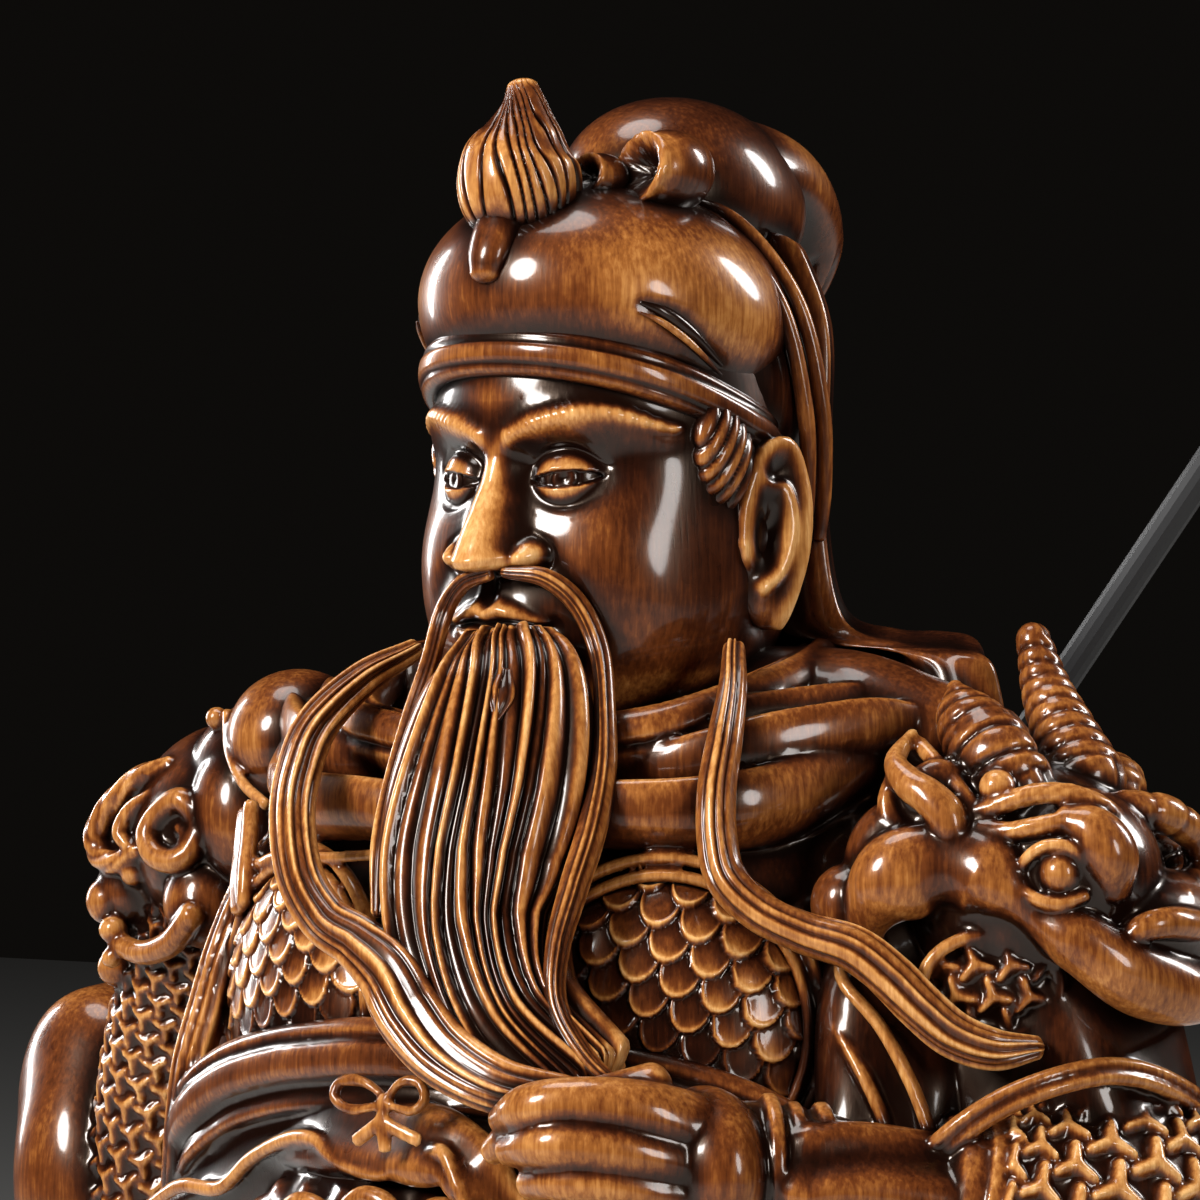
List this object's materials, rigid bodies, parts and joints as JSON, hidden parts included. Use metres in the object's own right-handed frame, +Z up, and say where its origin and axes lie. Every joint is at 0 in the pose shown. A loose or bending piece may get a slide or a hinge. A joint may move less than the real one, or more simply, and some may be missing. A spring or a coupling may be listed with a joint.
{
  "type": "guan yu statue",
  "caption": "Standing bearded general in scale armour and soft cap, stroking the beard and holding a glaive behind the back, on an oval plinth.",
  "frame": {"origin": "centre of the plinth's underside", "axes": "+Z up, the figure faces -Y, its left side at +X"},
  "size_m": [0.2467, 0.162, 0.4288],
  "materials": {
    "stained_resin": "gloss, dark brown wood-look stain rubbed back to gold on the raised parts",
    "black_lacquer": "gloss black",
    "dark_steel": "dark satin"
  },
  "bodies": {
    "root": {"plinth": "stained_resin", "figure": "stained_resin", "glaive_shaft": "black_lacquer", "glaive_blade": "dark_steel"}
  },
  "joints": []
}
